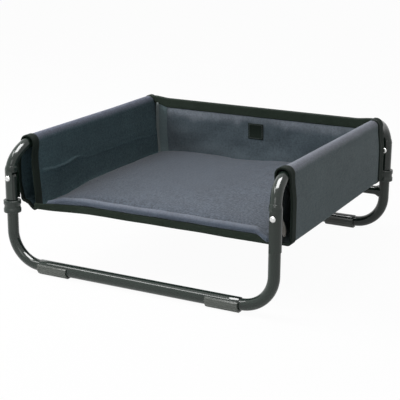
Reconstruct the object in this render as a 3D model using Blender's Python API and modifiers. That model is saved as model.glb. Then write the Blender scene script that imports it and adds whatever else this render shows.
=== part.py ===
"""Folding dog bed: two steel leg frames, two fold-down side rails and a sling of padded cloth.

Metres, +Z up, front towards -Y, left towards -X. The origin is on the floor under the middle.
"""
import math

import bmesh
import bpy
from mathutils import Matrix, Vector

# Frame: the upright tubes stand on a rectangle
HALF_WIDTH = 0.280
HALF_DEPTH = 0.290
TUBE_R = 0.011
TUBE_WALL = 0.0012
GAP = 0.0003
SIDES = 16

# Base tubes, the legs plugged into them, and the clip-on feet
BASE_WALL = 0.0012
BASE_R = TUBE_R + GAP + BASE_WALL
FOOT_WALL = 0.0027
FOOT_R = BASE_R + GAP + FOOT_WALL
FOOT_RIB = 0.0007
FOOT_RIBS = 11
FOOT_WRAP = 28
FOOT_LENGTH = 0.066
BASE_Z = FOOT_R
LEG_BEND = 0.063
PLUG_DEPTH = 0.050
BASE_TO_BEND = 0.001
BASE_HALF = HALF_WIDTH - LEG_BEND - BASE_TO_BEND

# Rear cross tube between the two rear legs, just above their bends
CROSS_R = 0.0095
CROSS_WALL = 0.0012
CROSS_ABOVE_BEND = 0.018
CROSS_Z = BASE_Z + LEG_BEND + CROSS_ABOVE_BEND

# Lock collars on the front left and rear right legs, one travel above the cross tube
COLLAR_WALL = 0.0057
COLLAR_R = TUBE_R + GAP + COLLAR_WALL
COLLAR_GROOVE = 0.0024
COLLAR_FLANGE = 0.0080
COLLAR_HEIGHT = 0.0260
COLLAR_CHAMFER = 0.0010
COLLAR_TRAVEL = 0.0100
TRAVEL_CLEARANCE = 0.0005
COLLAR_Z = CROSS_Z + CROSS_R + TRAVEL_CLEARANCE + COLLAR_TRAVEL
LOCK_CLEARANCE = 0.0010

# Fold joint: a channel sleeve on the rail, pinned to the leg's tapered top by a rivet
SLEEVE_WALL = 0.0010
SLEEVE_BORE = TUBE_R + GAP
SLEEVE_R = SLEEVE_BORE + SLEEVE_WALL
SLEEVE_LIP = 0.0060
SLEEVE_DROP = 0.0420
LOCKED_SLEEVE_Z = COLLAR_Z + COLLAR_HEIGHT + LOCK_CLEARANCE
PLAIN_SLEEVE_ABOVE_CROSS = 0.0170
PLAIN_SLEEVE_Z = CROSS_Z + CROSS_R + PLAIN_SLEEVE_ABOVE_CROSS
RING_HEIGHT = 0.0110
RING_STEP = 0.0004
PIVOT_Z = LOCKED_SLEEVE_Z + SLEEVE_DROP
END_CLEARANCE = 0.0008
RIVET_R = 0.0030
RIVET_HEAD_R = 0.0057
RIVET_HEAD_H = 0.0030
RIVET_TAIL_R = 0.0048
RIVET_TAIL_H = 0.0014
PLUG_R = TUBE_R - TUBE_WALL - GAP
PLUG_TOP = 0.0045
PLUG_BOTTOM = 0.0160

# Side rails: an upside-down U with elliptical corners
RAIL_END_Z = PIVOT_Z + TUBE_R + END_CLEARANCE
RAIL_STUB = 0.0015
RAIL_RISE = 0.0630
RAIL_Z = PIVOT_Z + RAIL_RISE
RAIL_BEND_Y = 0.066

# Cloth side walls: a closed loop of cloth hung over each rail, taped at both ends
CLOTH = 0.0020
FRONT_INSET = 0.040
REAR_INSET = 0.047
WALL_FRONT = FRONT_INSET - HALF_DEPTH
WALL_REAR = HALF_DEPTH - REAR_INSET
WALL_HEIGHT = 0.1240
WALL_BOTTOM = RAIL_Z - WALL_HEIGHT
WALL_SPREAD = 0.0092
WALL_CORNER = 0.0060
WALL_FOOT_Z = WALL_BOTTOM + CLOTH + WALL_CORNER
TAPE = 0.0010
TAPE_WIDTH = 0.026
TAPE_OUT = CLOTH + GAP + TAPE

# Seat pad and the tape folded round its lower front edge
SOFT_GAP = 0.0005
SEAT_HALF = HALF_WIDTH - TUBE_R - GAP - WALL_SPREAD - TAPE_OUT - SOFT_GAP
SEAT_FRONT = WALL_FRONT - SOFT_GAP
SEAT_REAR_INSET = 0.0070
SEAT_REAR = WALL_REAR - SEAT_REAR_INSET
SEAT_THICKNESS = 0.0255
SEAT_CROWN = 0.0050
SEAT_DRAW = 0.0020
SEAT_ROLL = 0.0100
SEAT_SINK_SIDE = 0.0165
SEAT_SINK_REAR = 0.0060
SEAT_TAPE_HEIGHT = 0.0180
SEAT_TAPE_UNDER = 0.0140

# How the wall's faces swell between the tapes, above the seat and below the rail
BULGE = 0.0035
BULGE_OUTSIDE = 0.0014
BULGE_ABOVE_SEAT = 0.008
BULGE_RISE = 0.032
BULGE_ALONG = 0.114

# Back wall with the webbing over its top edge and a plain sewn patch
BACK_THICKNESS = 0.0045
BACK_FRONT = SEAT_REAR + SOFT_GAP
BACK_ABOVE_RAIL = 0.0085
BACK_TOP = RAIL_Z + BACK_ABOVE_RAIL
BACK_BOW = 0.0040
BACK_BOW_RISE = 0.045
WEBBING_HEIGHT = 0.0200
WEBBING = 0.0012
PATCH_WIDTH = 0.0365
PATCH_HEIGHT = 0.0355
PATCH_X = -0.006
PATCH_BELOW_TOP = 0.0357
PATCH_THICKNESS = 0.0010

COLLECTION = "folding_dog_bed"
SIDE_NAMES = {-1: "left", 1: "right"}
END_NAMES = {-1: "front", 1: "rear"}
XY_TO_YZ = Matrix(((0, 0, 1, 0), (1, 0, 0, 0), (0, 1, 0, 0), (0, 0, 0, 1)))


def clear_scene():
    for obj in list(bpy.data.objects):
        bpy.data.objects.remove(obj, do_unlink=True)


def new_collection(name):
    collection = bpy.data.collections.new(name)
    bpy.context.scene.collection.children.link(collection)
    return collection


def finish(name, colour, roughness, metallic):
    """A Principled material with one colour."""
    material = bpy.data.materials.new(name)
    material.use_nodes = True
    shader = material.node_tree.nodes["Principled BSDF"]
    shader.inputs["Base Color"].default_value = (*colour, 1.0)
    shader.inputs["Roughness"].default_value = roughness
    shader.inputs["Metallic"].default_value = metallic
    return material


def fold_pivot(side):
    """An empty on the line through a side's two rivets, for all that folds with the rail."""
    empty = bpy.data.objects.new(SIDE_NAMES[side] + "_fold_pivot", None)
    empty.location = (side * HALF_WIDTH, 0.0, PIVOT_Z)
    parts.objects.link(empty)
    return empty


def place(name, data, material, pivot=None):
    """Link a sub-part to the bed's collection with its own material, and hang it on its pivot."""
    obj = bpy.data.objects.new(name, data)
    parts.objects.link(obj)
    data.materials.clear()
    data.materials.append(material)
    if pivot:
        obj.parent = pivot
        obj.matrix_parent_inverse = Matrix.Translation(-pivot.location)
    return obj


def smooth(mesh, angle=40):
    mesh.shade_smooth()
    mesh.set_sharp_from_angle(angle=math.radians(angle))


def bm_mesh(name, bm, matrix=Matrix()):
    """A mesh from a bmesh, which is freed."""
    bm.transform(matrix)
    mesh = bpy.data.meshes.new(name)
    bm.to_mesh(mesh)
    bm.free()
    return mesh


def curve_bmesh(curve, points, cyclic):
    """The surface of a curve's one straight-sided spline, welded."""
    spline = curve.splines.new("POLY")
    spline.points.add(len(points) - 1)
    spline.use_cyclic_u = cyclic
    for spot, point in zip(spline.points, points):
        spot.co = (*Vector(point).to_3d(), 1.0)
    guide = bpy.data.objects.new(curve.name + "_guide", curve)
    bpy.context.scene.collection.objects.link(guide)
    bpy.context.view_layer.update()
    mesh = bpy.data.meshes.new_from_object(guide.evaluated_get(bpy.context.evaluated_depsgraph_get()))
    bpy.data.objects.remove(guide, do_unlink=True)
    bm = bmesh.new()
    bm.from_mesh(mesh)
    bpy.data.meshes.remove(mesh)
    bmesh.ops.remove_doubles(bm, verts=bm.verts, dist=0.000001)
    return bm


def tube_mesh(name, points, radius):
    """A round tube's outer skin along a list of points, open at both ends."""
    curve = bpy.data.curves.new(name, "CURVE")
    curve.dimensions = "3D"
    curve.bevel_depth = radius
    curve.bevel_resolution = (SIDES - 4) // 2
    mesh = bm_mesh(name, curve_bmesh(curve, points, False))
    smooth(mesh)
    return mesh


def outline_solid(name, points, depth):
    """A flat outline in XY made a solid of the given depth, centred on Z."""
    curve = bpy.data.curves.new(name, "CURVE")
    curve.dimensions = "2D"
    curve.fill_mode = "BOTH"
    curve.extrude = depth / 2
    bm = curve_bmesh(curve, points, True)
    bmesh.ops.recalc_face_normals(bm, faces=bm.faces)
    return bm


def wall(obj, thickness, offset=-1.0):
    """Give an open skin its thickness."""
    shell = obj.modifiers.new("wall", "SOLIDIFY")
    shell.thickness = thickness
    shell.offset = offset
    shell.use_even_offset = True
    return obj


def combine(obj, other, operation):
    join = obj.modifiers.new(operation.lower(), "BOOLEAN")
    join.operation = operation
    join.object = other


def helper(name, mesh, matrix=Matrix()):
    """Keep a solid that only cuts or joins in the cutters' collection, as wire."""
    obj = bpy.data.objects.new(name, mesh)
    obj.matrix_world = matrix
    obj.hide_render = True
    obj.display_type = "WIRE"
    cutters.objects.link(obj)
    return obj


def rod(centre, radius, length, axis, segments=24):
    """A capped cylinder on Y or Z."""
    bm = bmesh.new()
    bmesh.ops.create_cone(bm, cap_ends=True, segments=segments, radius1=radius, radius2=radius, depth=length)
    tip = Matrix.Rotation(math.radians(90), 4, "X") if axis == "Y" else Matrix()
    bm.transform(Matrix.Translation(Vector(centre)) @ tip)
    return bm


def arc(centre, radius, start, end, steps):
    """Points on an arc in a plane, angles in degrees."""
    angles = [math.radians(start + (end - start) * i / steps) for i in range(steps + 1)]
    return [(centre[0] + radius * math.cos(a), centre[1] + radius * math.sin(a)) for a in angles]


def turn(obj, steps):
    """Turn a profile of (radius, height) points, listed top to bottom, about its own Z."""
    screw = obj.modifiers.new("turn", "SCREW")
    screw.steps = steps
    screw.render_steps = steps
    screw.use_merge_vertices = True
    screw.merge_threshold = 0.00001
    screw.use_smooth_shade = True
    return obj


def profile_mesh(name, profile, closed):
    mesh = bpy.data.meshes.new(name)
    edges = [(i, i + 1) for i in range(len(profile) - 1)]
    if closed:
        edges.append((len(profile) - 1, 0))
    mesh.from_pydata([(r, 0.0, z) for r, z in profile], edges, [])
    return mesh


def pivot_spot(side, end):
    return Vector((side * HALF_WIDTH, end * HALF_DEPTH, PIVOT_Z))


def rivet_hole(obj, side, end):
    hole = rod(pivot_spot(side, end), RIVET_R + GAP, 4 * SLEEVE_R, "Y")
    combine(obj, helper(obj.name + "_hole", bm_mesh("rivet_hole", hole)), "DIFFERENCE")


def make_base_tube(end):
    points = [(-BASE_HALF, end * HALF_DEPTH, BASE_Z), (BASE_HALF, end * HALF_DEPTH, BASE_Z)]
    wall(place(END_NAMES[end] + "_base_tube", tube_mesh("base_tube", points, BASE_R), painted), BASE_WALL)


def make_leg(side, end):
    """From inside the base tube, round the bend and up to a top that tapers to clear the turning sleeve."""
    name = f"{END_NAMES[end]}_{SIDE_NAMES[side]}_leg_tube"
    bend = arc((HALF_WIDTH - LEG_BEND, BASE_Z + LEG_BEND), LEG_BEND, -90, 0, 8)
    flat = [(BASE_HALF - PLUG_DEPTH, BASE_Z), *bend, (HALF_WIDTH, PIVOT_Z + TUBE_R)]
    points = [(side * x, end * HALF_DEPTH, z) for x, z in flat]
    obj = wall(place(name, tube_mesh(name, points, TUBE_R), painted), TUBE_WALL)
    reach = 2 * TUBE_R
    taper = [(0, reach), (reach, reach), (reach, 0), (SLEEVE_BORE, 0), (PLUG_R, PLUG_TOP), (0, PLUG_TOP)]
    spot = Matrix.Translation(pivot_spot(side, end))
    cut = turn(helper(name + "_taper", profile_mesh("leg_taper", taper, False), spot), 2 * SIDES)
    combine(obj, cut, "DIFFERENCE")
    rivet_hole(obj, side, end)


def make_pivot_plug(side, end):
    """A moulded plug that fills the leg's top and carries the rivet."""
    name = f"{END_NAMES[end]}_{SIDE_NAMES[side]}_pivot_plug"
    centre = pivot_spot(side, end) + Vector((0, 0, (PLUG_TOP - PLUG_BOTTOM) / 2))
    mesh = bm_mesh(name, rod(centre, PLUG_R, PLUG_TOP + PLUG_BOTTOM, "Z", SIDES))
    smooth(mesh)
    rivet_hole(place(name, mesh, nylon), side, end)


def make_rivet(side, end):
    """A domed rivet from front to back; its head faces the front."""
    half = SLEEVE_R + GAP
    dome = arc((0, 0), RIVET_HEAD_R, 90, 0, 4)
    head = [(r, half + z * RIVET_HEAD_H / RIVET_HEAD_R) for r, z in dome]
    head[0] = (0.0, head[0][1])
    low = -half - RIVET_TAIL_H
    tail = [(RIVET_R, half), (RIVET_R, -half), (RIVET_TAIL_R, -half), (RIVET_TAIL_R * 0.8, low), (0.0, low)]
    name = f"{END_NAMES[end]}_{SIDE_NAMES[side]}_pivot_rivet"
    obj = turn(place(name, profile_mesh(name, [*head, *tail], False), bright), 16)
    obj.matrix_world = Matrix.Translation(pivot_spot(side, end)) @ Matrix.Rotation(math.radians(90), 4, "X")


def make_foot(side, end):
    """A ribbed clip round the underside of the base tube, flat where it stands."""
    inner = BASE_R + GAP
    start, stop = -180 - FOOT_WRAP, FOOT_WRAP
    steps = 4 * FOOT_RIBS
    outer = []
    for i in range(steps + 1):
        a = math.radians(start + (stop - start) * i / steps)
        r = FOOT_R + FOOT_RIB * (0.5 - 0.5 * math.cos(2 * math.pi * i / 4))
        outer.append((r * math.cos(a), max(r * math.sin(a), -FOOT_R)))
    bore = arc((0, 0), inner, stop, start, 24)
    name = f"{END_NAMES[end]}_{SIDE_NAMES[side]}_foot"
    centre = Vector((side * (BASE_HALF - FOOT_LENGTH / 2), end * HALF_DEPTH, BASE_Z))
    clip = outline_solid(name, [*outer, *bore], FOOT_LENGTH)
    place(name, bm_mesh(name, clip, Matrix.Translation(centre) @ XY_TO_YZ), rubber)


def make_cross_tube():
    """Saddled on the two rear legs."""
    points = [(-HALF_WIDTH, HALF_DEPTH, CROSS_Z), (HALF_WIDTH, HALF_DEPTH, CROSS_Z)]
    obj = wall(place("rear_cross_tube", tube_mesh("rear_cross_tube", points, CROSS_R), painted), CROSS_WALL)
    for side in (-1, 1):
        saddle = rod((side * HALF_WIDTH, HALF_DEPTH, CROSS_Z), TUBE_R + 2 * GAP, 4 * CROSS_R, "Z", 2 * SIDES)
        combine(obj, helper(f"cross_tube_saddle_{SIDE_NAMES[side]}", bm_mesh("saddle", saddle)), "DIFFERENCE")


def make_collar(side, end):
    r, g, h, c = COLLAR_R, COLLAR_R - COLLAR_GROOVE, COLLAR_HEIGHT, COLLAR_CHAMFER
    bore = TUBE_R + GAP
    low, high = COLLAR_FLANGE, COLLAR_HEIGHT - COLLAR_FLANGE
    upper = [(bore, h), (r - c, h), (r, h - c), (r, high), (g, high)]
    lower = [(g, low), (r, low), (r, c), (r - c, 0), (bore, 0)]
    name = SIDE_NAMES[side] + "_lock_collar"
    obj = turn(place(name, profile_mesh(name, [*upper, *lower], True), plastic), 24)
    obj.matrix_world = Matrix.Translation((side * HALF_WIDTH, end * HALF_DEPTH, COLLAR_Z))


def rail_path(side, end):
    """From a rail's end up its straight stub and round its elliptical corner to its level run."""
    start = RAIL_END_Z + RAIL_STUB
    y_reach, z_reach = RAIL_BEND_Y, RAIL_Z - start
    bend = [(HALF_DEPTH - y_reach + u * y_reach, start + v * z_reach) for u, v in arc((0, 0), 1.0, 0, 90, 8)]
    return [(side * HALF_WIDTH, end * y, z) for y, z in [(HALF_DEPTH, RAIL_END_Z), *bend]]


def below(path, height):
    """The part of a rising path under a height."""
    kept = [point for point in path if point[2] < height]
    low, high = Vector(kept[-1]), Vector(path[len(kept)])
    return [*kept, low.lerp(high, (height - low.z) / (high.z - low.z))]


def make_rail(side, pivot):
    mesh = tube_mesh("side_rail", [*rail_path(side, -1), *rail_path(side, 1)[::-1]], TUBE_R)
    wall(place(SIDE_NAMES[side] + "_side_rail", mesh, painted, pivot), TUBE_WALL)


def make_sleeve(side, end, pivot):
    """The channel on the rail's end, open to the bed's inside, under a ring that grips the rail."""
    name = f"{SIDE_NAMES[side]}_{END_NAMES[end]}_hinge_sleeve"
    bottom = LOCKED_SLEEVE_Z if side == end else PLAIN_SLEEVE_Z
    top = RAIL_END_Z + RAIL_STUB
    x, y = side * HALF_WIDTH, end * HALF_DEPTH
    outer = [(-SLEEVE_LIP, -SLEEVE_R), *arc((0, 0), SLEEVE_R, -90, 90, 8), (-SLEEVE_LIP, SLEEVE_R)]
    inner = [(-SLEEVE_LIP, SLEEVE_BORE), *arc((0, 0), SLEEVE_BORE, 90, -90, 8), (-SLEEVE_LIP, -SLEEVE_BORE)]
    channel = outline_solid(name, [(side * u, v) for u, v in [*outer, *inner]], top - bottom)
    spot = Matrix.Translation((x, y, (top + bottom) / 2))
    obj = place(name, bm_mesh(name, channel, spot), painted, pivot)
    path = [(x, y, RAIL_END_Z - END_CLEARANCE / 2), *below(rail_path(side, end), RAIL_END_Z + RING_HEIGHT)[1:]]
    ring = helper(name + "_ring", tube_mesh(name + "_ring", path, SLEEVE_R + RING_STEP))
    wall(ring, SLEEVE_WALL + RING_STEP / 2)
    combine(obj, ring, "UNION")
    rivet_hole(obj, side, end)


def panel_offset(z, grow):
    """How far in from the rail the wall loop's inner panel hangs at a height, grown from the cloth."""
    drop = (RAIL_Z - max(z, WALL_FOOT_Z)) / (RAIL_Z - WALL_FOOT_Z)
    return TUBE_R + GAP + grow + WALL_SPREAD * drop


def wall_profile(grow):
    """The wall loop's cross-section as (outward, height) points, grown from the cloth's inner face."""
    over = TUBE_R + GAP + grow
    inner = panel_offset(WALL_FOOT_Z, grow)
    corner = WALL_CORNER + grow
    crown = arc((0, RAIL_Z), over, 176, 0, 10)
    rise = [WALL_FOOT_Z + (RAIL_Z - WALL_FOOT_Z) * i / 5 for i in range(1, 5)]
    outside = [(over, z) for z in reversed(rise)]
    right = arc((over - corner, WALL_FOOT_Z), corner, 0, -90, 3)
    left = arc((corner - inner, WALL_FOOT_Z), corner, -90, -180, 3)
    inside = [(-panel_offset(z, grow), z) for z in rise]
    return [*crown, *outside, *right, *left, *inside]


def step(value, low, high):
    t = min(1.0, max(0.0, (value - low) / (high - low)))
    return t * t * (3 - 2 * t)


def bulge(y, z):
    """How much the wall's faces swell, from 0 at their edges to 1 in the middle."""
    low = WALL_BOTTOM + SEAT_THICKNESS + BULGE_ABOVE_SEAT
    high = RAIL_Z - TUBE_R
    front, rear = WALL_FRONT + TAPE_WIDTH, WALL_REAR - TAPE_WIDTH
    along = step(y, front, front + BULGE_ALONG) * step(-y, -rear, BULGE_ALONG - rear)
    return along * step(z, low, low + BULGE_RISE) * step(-z, -high, BULGE_RISE - high)


def loop_mesh(name, side, grow, stations):
    """The wall's cross-section carried along Y, as an open-ended skin."""
    profile = wall_profile(grow)
    bm = bmesh.new()
    bmesh.ops.create_grid(bm, x_segments=len(profile), y_segments=len(stations) - 1, size=1.0)
    for vert in bm.verts:
        i = round((vert.co.x + 1) / 2 * len(profile)) % len(profile)
        j = round((vert.co.y + 1) / 2 * (len(stations) - 1))
        out, z = profile[i]
        y = stations[j]
        out += bulge(y, z) * (-BULGE if out < 0 else BULGE_OUTSIDE)
        vert.co = (side * (HALF_WIDTH + out), y, z)
    bmesh.ops.remove_doubles(bm, verts=bm.verts, dist=0.000001)
    if side < 0:
        bmesh.ops.reverse_faces(bm, faces=bm.faces)
    mesh = bm_mesh(name, bm)
    smooth(mesh)
    return mesh


def make_wall(side, pivot):
    """The cloth loop round one rail, and the tape bound round each of its open ends."""
    name = SIDE_NAMES[side]
    inner_front, inner_rear = WALL_FRONT + TAPE_WIDTH, WALL_REAR - TAPE_WIDTH
    middle = [inner_front + (inner_rear - inner_front) * i / 8 for i in range(9)]
    skin = loop_mesh(name + "_wall_loop", side, 0.0, [WALL_FRONT, *middle, WALL_REAR])
    wall(place(name + "_wall_loop", skin, cloth, pivot), CLOTH, 1.0)
    for end, low, high in (("front", WALL_FRONT, inner_front), ("rear", inner_rear, WALL_REAR)):
        tape_name = f"{name}_wall_{end}_tape"
        skin = loop_mesh(tape_name, side, CLOTH + GAP, [low, high])
        wall(place(tape_name, skin, webbing, pivot), TAPE, 1.0)


def cage_line(place, half):
    """Where one of the seat cage's seven lines lies, from -1 to 1; the outer two are a roll apart."""
    return math.copysign((0.0, 0.5, 1 - SEAT_ROLL / half, 1.0)[round(3 * abs(place))], place)


def make_seat():
    """A cushion from a coarse cage: crowned, its sides drawn in, and lower at both sides and the rear."""
    centre = Vector((0, (SEAT_FRONT + SEAT_REAR) / 2, WALL_BOTTOM + SEAT_THICKNESS / 2))
    half = Vector((SEAT_HALF, (SEAT_REAR - SEAT_FRONT) / 2, SEAT_THICKNESS / 2))
    bm = bmesh.new()
    bmesh.ops.create_cube(bm, size=2.0)
    bmesh.ops.subdivide_edges(bm, edges=bm.edges[:], cuts=5, use_grid_fill=True)
    for vert in bm.verts:
        u, v, w = cage_line(vert.co.x, half.x), cage_line(vert.co.y, half.y), vert.co.z
        draw = SEAT_DRAW * (1 - abs(w)) ** 2
        crown = SEAT_CROWN * (1 - u * u) * (1 - v * v)
        crown -= max(SEAT_SINK_SIDE * abs(u) ** 6, SEAT_SINK_REAR * max(0.0, v) ** 6)
        vert.co = centre + Vector((u * (half.x - draw), v * (half.y - draw), w * half.z + max(0.0, w) * crown))
    mesh = bm_mesh("seat_pad", bm)
    mesh.shade_smooth()
    rounding = place("seat_pad", mesh, cloth).modifiers.new("rounding", "SUBSURF")
    rounding.levels = 1
    rounding.render_levels = 1


def make_seat_tape():
    """Tape folded round the lower front edge of the seat."""
    front, under, top = SEAT_FRONT - GAP, WALL_BOTTOM - GAP, WALL_BOTTOM + SEAT_TAPE_HEIGHT
    back = front + SEAT_TAPE_UNDER
    outline = [(front, top), (front, under), (back, under), (back, under - TAPE), (front - TAPE, under - TAPE),
               (front - TAPE, top)]
    fold = outline_solid("seat_front_tape", outline, 2 * SEAT_HALF)
    place("seat_front_tape", bm_mesh("seat_front_tape", fold, XY_TO_YZ), webbing)


def back_half(z):
    """Half the back wall's width at a height, between the two side walls."""
    return HALF_WIDTH - panel_offset(z, TAPE_OUT) - SOFT_GAP


def back_bow(x, z):
    """How far the back wall leans out behind, zero along its edges and under the webbing."""
    across = (1 - min(1.0, x / SEAT_HALF, key=abs) ** 2) ** 2
    top = BACK_TOP - WEBBING_HEIGHT
    across *= step(z, WALL_BOTTOM, WALL_BOTTOM + BACK_BOW_RISE)
    return BACK_BOW * across * step(-z, -top, BACK_BOW_RISE - top)


def upright_sheet(name, middle, half_at, low, high, cells, front, thickness, material):
    """A panel across X and Z that follows the back wall's bow, as wide at each height as half_at says."""
    bm = bmesh.new()
    bmesh.ops.create_grid(bm, x_segments=cells[0], y_segments=cells[1], size=1.0)
    for vert in bm.verts:
        z = low + (high - low) * (vert.co.y + 1) / 2
        x = middle + half_at(z) * vert.co.x
        vert.co = (x, front + back_bow(x, z), z)
    mesh = bm_mesh(name, bm)
    smooth(mesh)
    wall(place(name, mesh, material), thickness, -1.0)


def make_back():
    """The cloth, the webbing folded over its top edge, and the patch below the webbing."""
    upright_sheet("back_wall", 0.0, back_half, WALL_BOTTOM, BACK_TOP, (14, 8), BACK_FRONT, BACK_THICKNESS, cloth)
    high = BACK_TOP - PATCH_BELOW_TOP
    upright_sheet("back_sewn_patch", PATCH_X, lambda z: PATCH_WIDTH / 2, high - PATCH_HEIGHT, high, (4, 6),
                  BACK_FRONT - 2 * GAP - PATCH_THICKNESS, PATCH_THICKNESS, webbing)
    near, far = BACK_FRONT - GAP, BACK_FRONT + BACK_THICKNESS + GAP
    over, low = BACK_TOP + GAP, BACK_TOP - WEBBING_HEIGHT
    outline = [(near, low), (near, over), (far, over), (far, low), (far + WEBBING, low),
               (far + WEBBING, over + WEBBING), (near - WEBBING, over + WEBBING), (near - WEBBING, low)]
    fold = outline_solid("back_top_webbing", outline, 2 * back_half(low))
    place("back_top_webbing", bm_mesh("back_top_webbing", fold, XY_TO_YZ), webbing)


clear_scene()
parts = new_collection(COLLECTION)
cutters = new_collection("cutters")
painted = finish("painted_steel", (0.075, 0.085, 0.078), 0.32, 0.6)
bright = finish("bright_rivet", (0.78, 0.79, 0.78), 0.25, 1.0)
nylon = finish("nylon", (0.05, 0.05, 0.05), 0.5, 0.0)
plastic = finish("collar_plastic", (0.10, 0.11, 0.105), 0.5, 0.0)
rubber = finish("foot_plastic", (0.09, 0.10, 0.10), 0.6, 0.0)
cloth = finish("blue_grey_cloth", (0.10, 0.115, 0.15), 0.85, 0.0)
webbing = finish("dark_webbing", (0.025, 0.035, 0.032), 0.8, 0.0)

for y_end in (-1, 1):
    make_base_tube(y_end)
make_cross_tube()
for x_side in (-1, 1):
    fold = fold_pivot(x_side)
    make_rail(x_side, fold)
    make_wall(x_side, fold)
    make_collar(x_side, x_side)
    for y_end in (-1, 1):
        make_leg(x_side, y_end)
        make_pivot_plug(x_side, y_end)
        make_rivet(x_side, y_end)
        make_foot(x_side, y_end)
        make_sleeve(x_side, y_end, fold)
make_seat()
make_seat_tape()
make_back()
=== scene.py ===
"""Looks of the folding dog bed: glossy tubes, a padded seat, cloth walls hung over the rails and a low back wall.

Metres, +Z up, front towards -Y, left towards -X. Every surface is a grid of points worked out as whole arrays.
"""
import math

import bmesh
import bpy
import numpy as np
from mathutils import Matrix, Vector


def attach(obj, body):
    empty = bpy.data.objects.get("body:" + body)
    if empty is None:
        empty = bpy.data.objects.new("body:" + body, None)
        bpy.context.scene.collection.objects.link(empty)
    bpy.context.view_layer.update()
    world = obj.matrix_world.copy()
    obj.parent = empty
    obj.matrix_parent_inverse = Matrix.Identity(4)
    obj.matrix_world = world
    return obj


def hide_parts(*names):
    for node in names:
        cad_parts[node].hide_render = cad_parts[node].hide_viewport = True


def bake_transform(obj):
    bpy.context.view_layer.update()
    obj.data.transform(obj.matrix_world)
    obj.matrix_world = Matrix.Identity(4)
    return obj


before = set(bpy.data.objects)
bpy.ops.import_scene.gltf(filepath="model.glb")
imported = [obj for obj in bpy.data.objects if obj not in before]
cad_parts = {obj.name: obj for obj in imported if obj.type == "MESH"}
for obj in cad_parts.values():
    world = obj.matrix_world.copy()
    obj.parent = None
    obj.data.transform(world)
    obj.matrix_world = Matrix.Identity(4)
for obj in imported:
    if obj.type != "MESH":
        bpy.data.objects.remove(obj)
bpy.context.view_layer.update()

# Sizes in metres. SLEEVE_LOW is a sleeve's lower end by whether a lock collar stands under it, and SLEEVE_ARM how far
# its channel's arms reach past the leg's middle on each side
X, Y = 0.280, 0.290
TUBE = 0.011
BASE_TUBE, BASE_Z, BASE_HALF = 0.0125, 0.0155, 0.216
LEG_BEND = 0.063
CROSS_Z, CROSS, CROSS_DROP = 0.0965, 0.0095, 0.0045
COLLAR_Z, COLLAR_H, COLLAR = 0.1165, 0.026, 0.017
PIVOT_Z = 0.1855
RAIL_END, RAIL_Z, RAIL_Y = 0.1973, 0.2485, 0.066
RAIL_BEND = RAIL_END + 0.0015
SLEEVE_IN, SLEEVE_OUT = 0.0113, 0.0123
SLEEVE_LOW = {True: 0.1435, False: 0.123}
SLEEVE_ARM = {-1: 0.0105, 1: 0.0065}
FOOT, FOOT_RIB, FOOT_LENGTH = 0.0155, 0.0007, 0.066
WALL_FRONT, WALL_REAR, HEM = -0.250, 0.243, 0.0006
WALL_LOW, WALL_FOOT, WALL_SPREAD, WALL_CORNER = 0.1245, 0.1325, 0.0092, 0.006
CLOTH, LINING = 0.002, 0.0004
TAPE_WIDE, TAPE = 0.026, 0.001
SEAT_X, SEAT_FRONT, SEAT_REAR = 0.2557, -0.2505, 0.236
SEAT_MID, SEAT_HALF = (SEAT_FRONT + SEAT_REAR) / 2, (SEAT_REAR - SEAT_FRONT) / 2
SEAT_TALL, SEAT_CROWN, SEAT_SINK = 0.0255, 0.005, 0.0185
BACK_FRONT, BACK_DEEP, BACK_TOP = 0.2365, 0.0045, 0.257
WEBBING, WEBBING_LOW = 0.0012, 0.237
SIDES = {-1: "left", 1: "right"}
ENDS = {-1: "front", 1: "rear"}

# What the photograph shows askew: the rails' lean and the height it starts at, each rail's own height, and the seen
# widths of the loops' tapes by (side, way), where way 1 is a front edge and -1 a rear one
LEAN, LEAN_FROM = 0.0045, 0.197
RISE = {-1: -0.0025, 1: 0.0020}
TAPES = {(-1, 1): 0.0195, (1, 1): 0.0195, (-1, -1): 0.012, (1, -1): 0.030}

# Pitches of the cloth's threads and of the webbing's ribs, and how far in from an edge its stitches run
THREAD, RIBS, STITCH_LINE = 0.0011, (0.0011, 0.0016), 0.0225

# The camera as fitted to the photograph: focal length in pixels of a picture 400 wide, place, and turns in degrees
FOCAL, PICTURE = 1131.84, 400
EYE, HEADING, DOWN, ROLL = (1.03087541, -1.99655845, 0.74798711), 27.7418, 15.9514, 0.336


def added(name, data):
    """A new object in the scene."""
    obj = bpy.data.objects.new(name, data)
    bpy.context.scene.collection.objects.link(obj)
    return obj


def surface(name, points, around=False, along=False, uv=None):
    """Quads over points[row, column]; around closes the columns, along closes the rows; uv has one row or column more
    where it closes. Faces look towards (column step) x (row step)."""
    rows, cols = points.shape[:2]
    i = np.arange(rows if along else rows - 1)[:, None]
    j = np.arange(cols if around else cols - 1)[None, :]
    near, far = i + 0 * j, i + 1 + 0 * j
    left, right = j + 0 * i, j + 1 + 0 * i
    turns = ((near, left), (near, right), (far, right), (far, left))
    quads = np.stack([(r % rows) * cols + c % cols for r, c in turns], -1).reshape(-1)
    mesh = bpy.data.meshes.new(name)
    mesh.vertices.add(rows * cols)
    mesh.vertices.foreach_set("co", points.astype(np.float32).ravel())
    mesh.loops.add(len(quads))
    mesh.loops.foreach_set("vertex_index", quads.astype(np.int32))
    mesh.polygons.add(len(quads) // 4)
    mesh.polygons.foreach_set("loop_start", np.arange(0, len(quads), 4, dtype=np.int32))
    mesh.update(calc_edges=True)
    if uv is not None:
        corner = np.stack([uv[r, c] for r, c in turns], -2).reshape(-1, 2)
        mesh.uv_layers.new(name="UVMap").data.foreach_set("uv", corner.astype(np.float32).ravel())
    mesh.shade_smooth()
    return added(name, mesh)


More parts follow.
